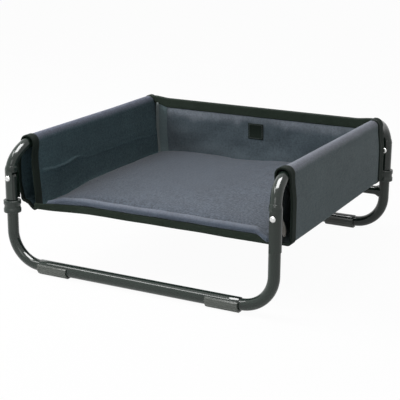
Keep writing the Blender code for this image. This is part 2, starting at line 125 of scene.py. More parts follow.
def closed(obj, angle=None):
    """Merge coincident points, turn the faces of a closed form outwards and mark edges sharper than an angle."""
    bm = bmesh.new()
    bm.from_mesh(obj.data)
    bmesh.ops.remove_doubles(bm, verts=bm.verts, dist=0.000002)
    bmesh.ops.recalc_face_normals(bm, faces=bm.faces)
    bm.to_mesh(obj.data)
    bm.free()
    obj.data.shade_smooth()
    if angle:
        obj.data.set_sharp_from_angle(angle=math.radians(angle))
    return obj


def coat(obj, material):
    """Give an object one material, in place of any that it has."""
    obj.data.materials.clear()
    obj.data.materials.append(material)


def wear(obj, material, body, *nodes):
    """Give a piece its finish, the body it rides on and the nodes it stands for."""
    coat(obj, material)
    if body:
        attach(obj, body)
    if nodes:
        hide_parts(*nodes)
    return obj


def ease(t):
    """Smooth step: 3t^2 - 2t^3 for t held between 0 and 1."""
    t = np.clip(t, 0.0, 1.0)
    return t * t * (3 - 2 * t)


def hill(t, width):
    """A bell, exp(-(t / width)^2)."""
    return np.exp(-(t / width) ** 2)


def whole_turn(steps):
    """Angles once round, as one row."""
    return np.linspace(0, 2 * np.pi, steps, endpoint=False)[None, :]


def arc(x, z, r, start, stop, count):
    """Points of a circle about (x, z) between two angles in degrees."""
    a = np.radians(np.linspace(start, stop, count))
    return np.stack([x + r * np.cos(a), z + r * np.sin(a)], -1)


def lengths(points):
    """Distance along a closed outline, from its first point to each of the others and back to it."""
    steps = np.linalg.norm(np.diff(points, axis=0, append=points[:1]), axis=1)
    return np.concatenate([[0], np.cumsum(steps)])


def risen(z):
    """The smooth step from the sleeve's end up to the rail."""
    return ease((z - LEAN_FROM) / (RAIL_Z - LEAN_FROM))


def inward(side, y, z):
    """How far a side leans into the bed; the left one stands nearly upright at its rear."""
    return LEAN * risen(z) * (1 - 0.7 * (side < 0) * ease((y - 0.06) / 0.16))


def settled(side, points):
    """Points of a side, leaned inwards and set to their own rail's height, both by the same smooth step."""
    points = np.array(points, float)
    step = risen(points[..., 2])
    points[..., 0] -= side * inward(side, points[..., 1], points[..., 2])
    points[..., 2] += RISE[side] * step
    return points


def leaf(name, front, rear):
    """A closed form between two sheets of points that meet, or nearly do, along their edges."""
    sheets = [front.transpose(1, 0, 2), rear.transpose(1, 0, 2)[::-1]]
    return closed(surface(name, np.concatenate(sheets), along=True))


def tube(name, path, radius, normal, head=((0, 0),), tail=((0, 0),), steps=40):
    """Circle c + r (cos a n + sin a (t x n)) at each point c of a flat path with normal n and direction t; head and
    tail are (distance, radius) rows beyond its two ends."""
    path = np.asarray(path, float)
    along = np.gradient(path, axis=0)
    along /= np.linalg.norm(along, axis=1)[:, None]
    before = [path[0] - d * along[0] for d, _ in head]
    after = [path[-1] + d * along[-1] for d, _ in tail]
    centre = np.concatenate([before, path, after])
    along = np.concatenate([np.repeat(along[:1], len(head), 0), along, np.repeat(along[-1:], len(tail), 0)])
    size = np.concatenate([[r for _, r in head], np.broadcast_to(radius, len(path)), [r for _, r in tail]])
    a = whole_turn(steps)[..., None]
    n = np.broadcast_to(np.asarray(normal, float), centre.shape)
    ring = np.cos(a) * n[:, None] + np.sin(a) * np.cross(along, n)[:, None]
    return closed(surface(name, centre[:, None] + size[:, None, None] * ring, around=True))


def turned(name, profile, centre, axis, steps=64):
    """Profile of (radius, height) turned about an axis: c + h k + r (cos a p + sin a q)."""
    profile = np.asarray(profile, float)
    k = np.asarray(axis, float)
    p = np.roll(k, 1)
    q = np.cross(k, p)
    a = whole_turn(steps)[..., None]
    r, h = profile[:, 0, None, None], profile[:, 1, None, None]
    return closed(surface(name, np.asarray(centre) + h * k + r * (np.cos(a) * p + np.sin(a) * q), around=True))


def clip(name, inner, outer, low, high, bevel, place):
    """A bent plate between two curves in a plane, carried from low to high along the third axis; its section is a
    rectangle with cut corners, and it closes on its middle line at both ends. place puts (u, v, h) in the bed."""
    thick = np.linalg.norm(outer - inner, axis=-1, keepdims=True)
    cut = bevel / thick
    share = [1 + 0 * cut, 1 + 0 * cut, 1 - cut, cut, 0 * cut, 0 * cut, cut, 1 - cut]
    height = [low + bevel, high - bevel, high, high, high - bevel, low + bevel, low, low]
    rows = np.stack([inner + s * (outer - inner) for s in share], 1)
    h = np.broadcast_to(np.array(height)[None, :, None], rows[..., :1].shape)
    rows = np.concatenate([rows, h], -1)
    first, last = rows[:1].copy(), rows[-1:].copy()
    first[..., :2], last[..., :2] = (inner[0] + outer[0]) / 2, (inner[-1] + outer[-1]) / 2
    return closed(surface(name, place(np.concatenate([first, rows, last])), around=True), 35)


# ---- finishes

def put(tree, kind, feed=None, **settings):
    """Add a node, set its properties and feed its inputs with sockets or values."""
    made = tree.nodes.new("ShaderNode" + kind)
    for key, value in settings.items():
        setattr(made, key, value)
    for key, value in (feed or {}).items():
        if isinstance(value, bpy.types.NodeSocket):
            tree.links.new(value, made.inputs[key])
        else:
            made.inputs[key].default_value = value
    return made


def calc(tree, operation, *values):
    """The result of a Math node."""
    return put(tree, "Math", dict(enumerate(values)), operation=operation).outputs[0]


def linear(tree, value, factor, offset):
    """value * factor + offset."""
    return calc(tree, "MULTIPLY_ADD", value, factor, offset)


def wave(tree, value, factor):
    """|sin(value * factor)|."""
    return calc(tree, "ABSOLUTE", calc(tree, "SINE", calc(tree, "MULTIPLY", value, factor)))


def blend_colour(tree, share, a, b):
    return put(tree, "Mix", {0: share, 6: a, 7: b}, data_type="RGBA").outputs[2]


def parts(tree, vector):
    """The x, y and z of a vector."""
    return put(tree, "SeparateXYZ", {0: vector}).outputs


def in_bed(tree):
    """A place in the bed, for patterns that have no map of their own."""
    return put(tree, "TexCoord").outputs["Object"]


def noise(tree, place, scale, **more):
    """A noise texture's value, about 0 to 1."""
    return put(tree, "TexNoise", {"Vector": place, "Scale": scale, **more}).outputs["Fac"]


def effect(name, numbers, outputs):
    """A node group that takes a place and named numbers and gives named values."""
    tree = bpy.data.node_groups.new(name, "ShaderNodeTree")
    tree.interface.new_socket("Place", in_out="INPUT", socket_type="NodeSocketVector")
    for title, value in numbers.items():
        tree.interface.new_socket(title, in_out="INPUT", socket_type="NodeSocketFloat").default_value = value
    for title in outputs:
        tree.interface.new_socket(title, in_out="OUTPUT", socket_type="NodeSocketFloat")
    return tree, tree.nodes.new("NodeGroupInput").outputs, tree.nodes.new("NodeGroupOutput").inputs


def make_plain_weave():
    """Threads that pass over and under each other: |sin pi u| or |sin pi v| by a checker of their crossings."""
    tree, given, out = effect("plain_weave", {"Pitch": 0.001}, ["Height", "Thread"])
    per_metre = calc(tree, "DIVIDE", 1.0, given["Pitch"])
    part = parts(tree, put(tree, "VectorMath", {0: given["Place"], 3: per_metre}, operation="SCALE").outputs[0])
    across = [wave(tree, part[k], math.pi) for k in (0, 1)]
    flat = put(tree, "CombineXYZ", {0: part[0], 1: part[1], 2: 0.5}).outputs[0]
    crossings = {"Vector": flat, "Scale": 1.0, "Color1": (1, 1, 1, 1), "Color2": (0, 0, 0, 1)}
    over = put(tree, "TexChecker", crossings).outputs[1]
    arched = [linear(tree, across[k], 0.4, 0.6) for k in (0, 1)]
    warp, weft = calc(tree, "MULTIPLY", across[0], arched[1]), calc(tree, "MULTIPLY", across[1], arched[0])
    height = put(tree, "Mix", {0: over, 2: weft, 3: warp}, data_type="FLOAT").outputs[0]
    count = [calc(tree, "FLOOR", part[k]) for k in (0, 1)]
    tone = [put(tree, "TexWhiteNoise", {"W": k}, noise_dimensions="1D").outputs[0] for k in count]
    thread = put(tree, "Mix", {0: over, 2: tone[1], 3: tone[0]}, data_type="FLOAT").outputs[0]
    tree.links.new(height, out["Height"])
    tree.links.new(thread, out["Thread"])
    return tree


def make_cloth_life():
    """Slubs of a few millimetres, soft blotches and the broad creases of used cloth, each from noise."""
    scales = {"Slub": 260.0, "Blotch": 22.0, "Crease": 11.0}
    tree, given, out = effect("cloth_life", scales, list(scales))
    for kind, more in (("Slub", dict(Detail=3.0, Roughness=0.6)), ("Blotch", dict(Detail=2.0, Roughness=0.5)),
                       ("Crease", dict(Detail=2.0, Distortion=0.6))):
        tree.links.new(noise(tree, given["Place"], given[kind], **more), out[kind])
    return tree


def make_stitch_row():
    """A dashed row of thread: 1 where |v - line| is under half a thread and u falls on a stitch."""
    numbers = {"Line": 0.02, "Step": 0.004, "Thread": 0.0009}
    tree, given, out = effect("stitch_row", numbers, ["Mask", "Height"])
    part = parts(tree, given["Place"])
    off = calc(tree, "ABSOLUTE", calc(tree, "SUBTRACT", part[1], given["Line"]))
    near = calc(tree, "SUBTRACT", 1.0, calc(tree, "DIVIDE", off, given["Thread"]))
    beat = calc(tree, "FRACT", calc(tree, "DIVIDE", part[0], given["Step"]))
    stitch = calc(tree, "SUBTRACT", calc(tree, "SINE", calc(tree, "MULTIPLY", beat, math.pi)), 0.35)
    height = calc(tree, "MULTIPLY", calc(tree, "MAXIMUM", near, 0.0), calc(tree, "MAXIMUM", stitch, 0.0))
    tree.links.new(calc(tree, "GREATER_THAN", height, 0.05), out["Mask"])
    tree.links.new(height, out["Height"])
    return tree


def make_moulded_skin():
    """Fine orange peel, specks and rubbed patches of a coated or moulded surface, from noise at three scales."""
    tree, given, out = effect("moulded_skin", {"Peel": 900.0, "Patch": 35.0}, ["Height", "Speck", "Rub"])
    speck = put(tree, "TexVoronoi", {"Vector": given["Place"], "Scale": 700.0}).outputs["Distance"]
    rub = noise(tree, given["Place"], given["Patch"], Detail=4.0, Roughness=0.65)
    rub = calc(tree, "MAXIMUM", linear(tree, rub, 5.0, -3.0), 0.0)
    tree.links.new(noise(tree, given["Place"], given["Peel"], Detail=2.0), out["Height"])
    tree.links.new(calc(tree, "LESS_THAN", speck, 0.18), out["Speck"])
    tree.links.new(calc(tree, "SMOOTH_MIN", rub, 1.0, 0.1), out["Rub"])
    return tree


weave, life, stitches, skin = make_plain_weave(), make_cloth_life(), make_stitch_row(), make_moulded_skin()


def finish(name, **sockets):
    """A material whose plain numbers sit on its Principled shader."""
    material = bpy.data.materials.new(name + "_look")
    material["slot"] = name
    material.use_nodes = True
    shader = material.node_tree.nodes["Principled BSDF"]
    for key, value in sockets.items():
        shader.inputs[key.replace("_", " ").title().replace("Ior", "IOR")].default_value = value
    return material, material.node_tree, shader.inputs


def on_map(tree):
    """A place on the piece's own map, in metres."""
    return put(tree, "UVMap", uv_map="UVMap").outputs[0]


def use(tree, group, **feed):
    """The outputs of one of the node groups above."""
    return put(tree, "Group", feed, node_tree=group).outputs


def relief(tree, *layers):
    """Bumps laid one over the other from (height, distance) pairs."""
    normal = None
    for height, distance in layers:
        feed = {"Height": height, "Distance": distance, "Strength": 1.0}
        if normal:
            feed["Normal"] = normal
        normal = put(tree, "Bump", feed).outputs[0]
    return normal


def woven(colour, shade, own_map=True, crease=0.0012, slub=0.5, top=None, rear_left_shade=None, shine=1.0):
    """Coarse plain-weave cloth: thread tones, slubs and blotches between a colour and its shade. top is a painted
    highlight: a pale colour that it fades to, the two heights between which it does and how much they wander, in
    metres. The colour that it leans to towards the bed's rear left is a painted shade, darker where shade falls on
    the seat. shine scales its sheen and gloss."""
    material, tree, shader = finish("blue_grey_cloth", roughness=0.78, sheen_weight=0.12 * shine,
                                    sheen_roughness=0.45, specular_ior_level=0.35 * shine)
    place = in_bed(tree)
    thread = use(tree, weave, Place=on_map(tree) if own_map else place, Pitch=THREAD)
    worn = use(tree, life, Place=place)
    mix = linear(tree, worn["Blotch"], 0.5, -0.245 - slub / 2)
    mix = linear(tree, worn["Slub"], slub, mix)
    mix = calc(tree, "ADD", mix, linear(tree, thread["Thread"], 0.22, 0.20))
    mix = put(tree, "Clamp", {0: calc(tree, "ADD", mix, calc(tree, "MULTIPLY", thread["Height"], 0.35))}).outputs[0]
    base = blend_colour(tree, mix, shade, colour)
    # Painted highlight: fade to a pale colour between two heights, where light falls on a crown, a crest or an upper
    # face.
    if top:
        pale, low, high, wobble = top
        height = calc(tree, "SUBTRACT", worn["Crease"], 0.5)
        height = linear(tree, height, wobble, parts(tree, place)[2])
        highlight_share = put(tree, "MapRange", {0: height, 1: low, 2: high}, interpolation_type="SMOOTHSTEP").outputs[0]
        pale = blend_colour(tree, 0.5, blend_colour(tree, mix, (0, 0, 0, 1), pale), pale)
        base = blend_colour(tree, highlight_share, base, pale)
    # Painted shade: lean to a darker colour towards the bed's rear left, where shade falls on the seat.
    if rear_left_shade:
        part = parts(tree, place)
        shade_share = linear(tree, part[1], 0.6, calc(tree, "MULTIPLY", part[0], -1.0))
        shade_share = put(tree, "MapRange", {0: shade_share, 1: -0.17, 2: 0.33, 3: 0.0, 4: 1.0}).outputs[0]
        base = blend_colour(tree, shade_share, base, rear_left_shade)
    tree.links.new(base, shader["Base Color"])
    tree.links.new(linear(tree, thread["Height"], -0.12, 0.86), shader["Roughness"])
    normal = relief(tree, (worn["Crease"], crease), (worn["Slub"], 0.00025), (thread["Height"], 0.00018))
    tree.links.new(normal, shader["Normal"])
    return material


def taped(colour, light):
    """Grosgrain webbing: fine ribs and a dashed row of stitches, its tone between a colour and a lighter one."""
    material, tree, shader = finish("dark_webbing", roughness=0.75, sheen_weight=0.0, specular_ior_level=0.1)
    spot = on_map(tree)
    rib, cross = (wave(tree, way, math.pi / pitch) for way, pitch in zip(parts(tree, spot), RIBS))
    worn = use(tree, life, Place=in_bed(tree))
    row = use(tree, stitches, Place=spot, Line=STITCH_LINE)
    share = linear(tree, worn["Slub"], 0.5, linear(tree, worn["Blotch"], 0.5, -0.35))
    share = put(tree, "Clamp", {0: calc(tree, "ADD", share, calc(tree, "MULTIPLY", rib, 0.25))}).outputs[0]
    base = blend_colour(tree, share, colour, light)
    base = blend_colour(tree, calc(tree, "MULTIPLY", row["Mask"], 0.6), base, (0.10, 0.115, 0.115, 1))
    tree.links.new(base, shader["Base Color"])
    height = linear(tree, cross, 0.3, rib)
    tree.links.new(relief(tree, (height, 0.00016), (row["Height"], 0.0005)), shader["Normal"])
    return material


def coated(name, colour, pale, peel, **sockets):
    """A coated or moulded surface: peel, a few specks and rubbed patches."""
    material, tree, shader = finish(name, **sockets)
    seen = use(tree, skin, Place=in_bed(tree))
    share = linear(tree, seen["Rub"], 0.6, calc(tree, "MULTIPLY", seen["Speck"], 0.25))
    tree.links.new(blend_colour(tree, share, colour, pale), shader["Base Color"])
    rough = linear(tree, seen["Height"], 0.08, sockets["roughness"] - 0.04)
    tree.links.new(linear(tree, seen["Rub"], 0.12, rough), shader["Roughness"])
    tree.links.new(relief(tree, (seen["Height"], peel)), shader["Normal"])
    return material


painted = coated("painted_steel", (0.012, 0.023, 0.017, 1), (0.026, 0.038, 0.031, 1), 0.00003, roughness=0.35,
                 coat_weight=1.0, coat_roughness=0.10, coat_ior=1.48, specular_ior_level=0.05)
bright = coated("bright_rivet", (0.72, 0.73, 0.72, 1), (0.55, 0.55, 0.54, 1), 0.00002, roughness=0.22, metallic=1.0)
nylon = coated("nylon", (0.022, 0.023, 0.022, 1), (0.05, 0.05, 0.05, 1), 0.00004, roughness=0.5)
plastic = coated("collar_plastic", (0.014, 0.024, 0.019, 1), (0.06, 0.068, 0.062, 1), 0.00005, roughness=0.36)
rubber = coated("foot_plastic", (0.085, 0.096, 0.085, 1), (0.12, 0.13, 0.12, 1), 0.00006, roughness=0.40)
# The seat's colour leans to a painted shade towards the bed's rear left.
seat_cloth = woven((0.093, 0.119, 0.162, 1), (0.023, 0.034, 0.050, 1), own_map=False, slub=3.6,
                   rear_left_shade=(0.016, 0.027, 0.044, 1))
# The roll's top colour is a painted highlight along its crest.
roll_cloth = woven((0.108, 0.136, 0.182, 1), (0.052, 0.069, 0.098, 1), own_map=False, slub=1.2,
                   top=((0.185, 0.215, 0.275, 1), 0.1425, 0.1500, 0.004))
# The right wall's top colour is a painted highlight along the crown over the rail.
wall_cloth = woven((0.104, 0.144, 0.154, 1), (0.042, 0.063, 0.071, 1), slub=1.6,
                   top=((0.260, 0.285, 0.350, 1), 0.2515, 0.2625, 0.006))
# The back wall's top colour is a painted highlight on its upper part, which leans back into the light.
back_cloth = woven((0.092, 0.124, 0.146, 1), (0.040, 0.057, 0.071, 1), slub=1.4, crease=0.005, shine=0.8,
                   top=((0.285, 0.325, 0.375, 1), 0.210, 0.236, 0.05))
# The left wall's own copy of the wall cloth, more teal and with less sheen, toned to the shade on its inner face:
# painted shade. Its top colour is a painted highlight along the crown.
shaded_left_cloth = woven((0.088, 0.150, 0.172, 1), (0.034, 0.062, 0.074, 1), slub=1.6, shine=0.35,
                   top=((0.215, 0.240, 0.315, 1), 0.245, 0.258, 0.008))
# The piping's pale colour is in part its own and in part a painted highlight, for the light line along it in the
# wall's shade.
lit_pipe_cloth = woven((0.190, 0.225, 0.225, 1), (0.120, 0.145, 0.145, 1), slub=0.4)
strip_cloth = woven((0.125, 0.180, 0.190, 1), (0.072, 0.108, 0.118, 1), slub=0.8)
# Painted light: the pale cloth of a leaf placed where light falls into the right loop.
lit_flap_cloth = woven((0.36, 0.35, 0.32, 1), (0.26, 0.25, 0.23, 1), own_map=False)
webbing = taped((0.006, 0.011, 0.008, 1), (0.020, 0.030, 0.024, 1))
edge_webbing = taped((0.013, 0.021, 0.014, 1), (0.044, 0.060, 0.048, 1))


# ---- tubes and fittings

def make_base_tube(end):
    """A plain tube turned about X, its open ends rounded over a bore that the legs fill."""
    r, lip, x = BASE_TUBE, 0.0005, BASE_HALF
    half = [(0, -x + 0.006), (TUBE + 0.0002, -x + 0.006), (TUBE + 0.0002, -x + lip), (r - 2 * lip, -x),
            (r - lip, -x + 0.1 * lip), (r, -x + lip), (r, -x + 0.02)]
    profile = half + [(r, h) for h in np.linspace(-x + 0.04, x - 0.04, 12)] + [(q, -h) for q, h in reversed(half)]
    name = ENDS[end] + "_base_tube"
    return wear(turned(name + "_look", profile, (0, end * Y, BASE_Z), (1, 0, 0)), painted, "frame", name)


def make_leg(side, end):
    """From inside the base tube, a quarter circle of the bend's radius, then straight up to a round top whose middle
    is the rivet, so that it clears the sleeve that turns round it."""
    bend = arc(X - LEG_BEND, BASE_Z + LEG_BEND, LEG_BEND, -90, 0, 28)
    straight = [[X, z] for z in np.linspace(BASE_Z + LEG_BEND, PIVOT_Z, 14)[1:]]
    x, z = np.concatenate([[[BASE_HALF - 0.01, BASE_Z]], bend, straight]).T
    path = np.stack([side * x, np.full_like(x, end * Y), z], -1)
    top = [(TUBE * math.sin(t), TUBE * math.cos(t)) for t in np.radians(np.linspace(9, 90, 10))]
    name = f"{ENDS[end]}_{SIDES[side]}_leg_tube"
    return wear(tube(name + "_look", path, TUBE, (0, 1, 0), tail=top), painted, "frame", name)


def make_cross_tube():
    """A tube along X whose section is an ellipse that flares upwards and downwards where it is welded on a leg. It is
    drawn lower than its solid."""
    near = np.linspace(0, 0.03, 12)
    x = np.concatenate([near - X, np.linspace(-X + 0.045, X - 0.045, 16), X - near[::-1]])
    flare = hill(np.maximum(X - np.abs(x) - TUBE, 0), 0.005)
    a = whole_turn(40)
    deep = CROSS + 0.0008 * flare[:, None]
    tall = CROSS + np.where(np.sin(a) > 0, 0.0030, 0.0045) * flare[:, None]
    ring = np.stack([x[:, None] + 0 * a, Y - deep * np.cos(a), CROSS_Z - CROSS_DROP + tall * np.sin(a)], -1)
    ends = [np.broadcast_to([x[k], Y, CROSS_Z], (1, a.size, 3)) for k in (0, -1)]
    obj = closed(surface("rear_cross_tube_look", np.concatenate([ends[0], ring, ends[1]]), around=True))
    return wear(obj, painted, "frame", "rear_cross_tube")


def rail_curve(side, end, steps=26):
    """Up a short stub, then a quarter of an ellipse to the level run."""
    a = np.radians(np.linspace(0, 90, steps))
    y = np.concatenate([[Y], Y - RAIL_Y + RAIL_Y * np.cos(a)])
    z = np.concatenate([[RAIL_END], RAIL_BEND + (RAIL_Z - RAIL_BEND) * np.sin(a)])
    return settled(side, np.stack([np.full_like(y, side * X), end * y, z], -1))


def make_rail(side):
    """Both bends and the level run between them, as one tube."""
    run = np.linspace(-1, 1, 22)[1:-1, None] * (Y - RAIL_Y) * np.array([[0, 1, 0]]) + [[side * X, 0, RAIL_Z]]
    run = settled(side, run)
    path = np.concatenate([rail_curve(side, -1), run, rail_curve(side, 1)[::-1]])
    name = SIDES[side] + "_side_rail"
    return wear(tube(name + "_look", path, TUBE, (1, 0, 0)), painted, SIDES[side] + "_side", name)


def make_sleeve(side, end):
    """The channel round the leg's top, open to the inside, with the ring that grips the rail above it. It ends higher
    where a lock collar stands under it."""
    name = f"{SIDES[side]}_{ENDS[end]}_hinge_sleeve"
    arm = SLEEVE_ARM[side]

    def bent(r):
        ends = [[-arm, r], [-arm / 2, r]]
        return np.concatenate([[[u, -v] for u, v in ends], arc(0, 0, r, -90, 90, 37), ends[::-1]])

    def place(p):
        return np.stack([side * (X + p[..., 0]), end * Y + p[..., 1], p[..., 2]], -1)

    low = SLEEVE_LOW[side == end]
    channel = clip(name + "_channel", bent(SLEEVE_IN), bent(SLEEVE_OUT), low, RAIL_BEND, bevel=0.0003, place=place)
    path = rail_curve(side, end)
    path = path[path[:, 2] < RAIL_END + 0.0125]
    r = SLEEVE_OUT + 0.00005
    lip = 0.0007 if end > 0 else 0.0
    head = ((-0.002, TUBE - 0.0004), (-0.0002, TUBE), (0, r - lip), (-0.0004, r - lip / 7))
    taper = r - (r - TUBE - 0.0001) * ease((path[:, 2] - RAIL_END - 0.0045) / 0.008)
    ring = tube(name + "_ring", path, taper, (1, 0, 0), head, ((0.0004, TUBE), (-0.002, TUBE - 0.0004)))
    return [wear(o, painted, SIDES[side] + "_side", name) for o in (channel, ring)]


def make_rivet(side, end):
    """A dome on a thin washer in front of the sleeve, a shank, and a flat tail behind it, turned about Y."""
    half = SLEEVE_OUT + 0.0002
    a = np.radians(np.linspace(0, 90, 12))
    head = [(0.0051 * math.sin(t), half + 0.0005 + 0.0025 * math.cos(t)) for t in a]
    head += [(0.0056, half + 0.0005), (0.0057, half + 0.0003), (0.0056, half), (0.003, half)]
    flat = ((0.003, 0), (0.0046, 0), (0.0048, 0.0005), (0.0042, 0.0012), (0.0012, 0.0014), (0, 0.0010))
    tail = [(r, -half - h) for r, h in flat]
    name = f"{ENDS[end]}_{SIDES[side]}_pivot_rivet"
    obj = turned(name + "_look", head + tail, (side * X, end * Y, PIVOT_Z), (0, -1, 0), 40)
    return wear(obj, bright, "frame", name)


def make_collar(side):
    """Two flanges with a groove between them, turned about the leg."""
    r, g, h, bore, c = COLLAR, COLLAR - 0.0013, COLLAR_H - 0.002, SLEEVE_IN, 0.0009
    a = np.radians(np.linspace(0, 90, 6))
    bottom = [(r - c + c * math.sin(t), c - c * math.cos(t)) for t in a]
    low = [(r, 0.0072), (r - 0.0006, 0.0079), (g + 0.0006, 0.0085), (g, 0.0093)]
    half = [(bore, 0.0004), (bore + 0.0004, 0.0)] + bottom + low
    profile = half + [(q, h - v) for q, v in reversed(half)] + [(bore, 0.02), (bore, 0.006), half[0]]
    name = SIDES[side] + "_lock_collar"
    obj = turned(name + "_look", profile, (side * X, side * Y, COLLAR_Z), (0, 0, 1))
    return wear(obj, plastic, SIDES[side] + "_lock", name)


def make_foot(side, end):
    """A clip round the underside of the base tube: its radius swells in ribs, by a power of 1 - cos, and is cut flat
    below."""
    ribs, lip, span = 11, BASE_TUBE + 0.0009, (-208, 28, 199)
    a = np.radians(np.linspace(*span))
    t = (a - a[0]) / (a[-1] - a[0])
    r = FOOT + FOOT_RIB * (0.5 - 0.5 * np.cos(2 * np.pi * ribs * t)) ** 0.6
    r = lip + (r - lip) * ease(np.minimum(t, 1 - t) / 0.05)
    outer = np.stack([r * np.cos(a), np.maximum(r * np.sin(a), -FOOT)], -1)
    inner = arc(0, 0, BASE_TUBE + 0.0002, *span)
    middle = BASE_HALF - FOOT_LENGTH / 2

    def place(p):
        return np.stack([side * middle + p[..., 2], end * Y + p[..., 0], BASE_Z + p[..., 1]], -1)

    name = f"{ENDS[end]}_{SIDES[side]}_foot"
    obj = clip(name + "_look", inner, outer, -FOOT_LENGTH / 2, FOOT_LENGTH / 2, bevel=0.0006, place=place)
    return wear(obj, rubber, "frame", name)


# ---- cloth walls

# How the loops hang, in metres: the swell of their faces; the left crease's depth and reach above and below its line;
# the left front's flare, the crown's set there, the left foot's droop and how far the right foot is drawn up
SWELL_IN, SWELL_OUT, RIPPLE = 0.0026, 0.0012, 0.0005
CREASE, CREASE_ABOVE, CREASE_BELOW = 0.0036, 0.0016, 0.0036
FLARE, CROWN_IN, DROOP, DRAWN_UP = 0.0062, 0.003, 0.0140, 0.0065


def loop_section(count=288):
    """The hung loop's section: over the rail in a half circle, straight down outside, round two corners, and up
    inside on a slant. Gives evenly spaced (out, z), outward normals, lengths along it and the whole way round."""
    r, c, inner = SLEEVE_IN, WALL_CORNER, SLEEVE_IN + WALL_SPREAD
    points = np.concatenate([arc(0, RAIL_Z, r, 176, 0, 60), arc(r - c, WALL_FOOT, c, 0, -90, 14),
                             arc(c - inner, WALL_FOOT, c, -90, -180, 14)])
    s = lengths(points)
    even = np.linspace(0, s[-1], count, endpoint=False)
    p = np.stack([np.interp(even, s, np.append(way, way[0])) for way in points.T], -1)
    d = np.roll(p, -1, 0) - np.roll(p, 1, 0)
    n = np.stack([-d[:, 1], d[:, 0]], -1)
    return p, n / np.linalg.norm(n, axis=1)[:, None], even, s[-1]


SECTION, OUTWARD, SPAN, ROUND = loop_section()


def wall_relief(side, y, z, out):
    """How far the wall's cloth swells or creases, in metres: a low cushion between the tapes on each face, and on the
    inner left face one long crease that rises towards the front."""
    front, rear = WALL_FRONT + TAPE_WIDE, WALL_REAR - TAPE_WIDE
    along = ease((y - front) / 0.10) * ease((rear - y) / 0.10)
    tall = ease((z - 0.156) / 0.035) * ease((RAIL_Z - 0.010 - z) / 0.035)
    inner = out < 0
    swell = along * tall * np.where(inner, SWELL_IN, SWELL_OUT)
    ripple = RIPPLE * np.sin(31 * y + 9 * z + side) * np.sin(52 * z + 11 * y) * along * tall
    line = 0.1780 + 0.0100 * ease((-0.045 - y) / 0.055) + 0.0020 * hill(y + 0.110, 0.018)
    line = line + 0.0035 * ease((-0.180 - y) / 0.040) - 0.005 * ease((y - 0.13) / 0.08)
    fade = 0.14 + 0.86 * ease((-0.080 - y) / 0.04)
    off = z - line
    crease = CREASE * np.where(off > 0, hill(off, CREASE_ABOVE), hill(off, CREASE_BELOW)) * fade
    return swell + ripple + crease * ease((y - front) / 0.006) * inner * (side < 0)


def wall_place(side, y, p):
    """Where the loop hangs on its side: slid along the rail, its inner face set inwards at the foot and at the front
    crown. The left one's outer face flares at the front, and its inner foot hangs lower there; the right one's outer
    foot is drawn up towards the rear."""
    u, z = p[..., 0], p[..., 1]
    along = (y - WALL_FRONT) / (WALL_REAR - WALL_FRONT)
    low = 1 - ease((z - 0.150) / 0.08)
    shown = hill(y - WALL_FRONT, 0.035)
    tall = ease((z - WALL_FOOT) / 0.03) * ease((RAIL_Z + 0.004 - z) / 0.04)
    crown = CROWN_IN * shown * ease((z - 0.225) / 0.02)
    if side < 0:
        slid = 0.006 + 0.003 * along
        out = u + (u > 0) * FLARE * shown * tall - (u < 0) * ((0.0015 + 0.003 * along) * low + crown)
        z = z - DROOP * ease((-0.04 - y) / 0.14) * low * ease((0.006 - u) / 0.022)
    else:
        slid = -0.001 - 0.008 * along * ease((u + 0.012) / 0.012)
        out = u - (u < 0) * (0.0018 * low + crown)
        z = z + DRAWN_UP * ease((u + 0.006) / 0.016) * along ** 1.5 * low
    return settled(side, np.stack([side * (X + out), y + slid + 0 * out, z], -1))


def wall_points(side, y, g):
    """Points of the wall at stations y, one row for each, that stand g out from the cloth's inside."""
    p = SECTION[None] + 0 * y[:, None, None]
    lift = wall_relief(side, y[:, None], p[..., 1], p[..., 0])
    p = p + (g[:, None] + lift)[..., None] * OUTWARD[None]
    return wall_place(side, y[:, None], p)


def flat_map(along, across):
    """A map in metres: a length for each column and one for each row."""
    return np.stack(np.broadcast_arrays(along[None, :], across[:, None]), -1)


def wall_map(across):
    """The map of a piece of a loop: round its section, and a length across it for each row."""
    return flat_map(np.append(SPAN, ROUND), across)


def hang(obj):
    """Bake the cloth's place into its points; nothing ties it to the seat or to the rail."""
    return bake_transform(obj)


def make_tape(side, end, edge, way):
    """The binding folded over an end of the loop. Its section runs from its outer edge round the loop's end, back
    inside and out again along the cloth: reach is how far in from the loop's end a point lies, in widths of the tape,
    and rise how far out it stands, from 0 inside the loop to 1 on the tape's face."""
    reach = np.array([1.0, 0.985, 0.75, 0.5, 0.25, 0.08, 0.02, 0.0, -0.02, -0.08, -0.25, -0.44, -0.45, -0.44, -0.25,
                      -0.06, -0.03, 0.03, 0.06, 0.25, 0.5, 0.75, 0.985])
    rise = np.array([0.0003] + [1.0] * 5 + [0.8, 0.5, 0.2, 0, 0, 0, 0.1, 0.2, 0.2, 0.2, 0.35, 0.65] + [0.8] * 5)
    low, high = -0.0009, CLOTH + 0.0003 + TAPE
    g = low + (high - low) * rise
    g[0] = CLOTH + 0.0002
    wide = TAPES[side, way]
    y = edge + way * np.abs(reach) * wide
    y[15:19] = edge + way * (HEM + np.array([0.0010, 0.0003, 0.0003, 0.0010]))
    uv = wall_map(np.append(reach, 1.0) * wide)
    name = f"{SIDES[side]}_wall_{end}_tape"
    tape = closed(surface(name + "_look", wall_points(side, y, g), True, True, uv))
    wear(tape, webbing, None, name)
    hang(tape)
    return tape


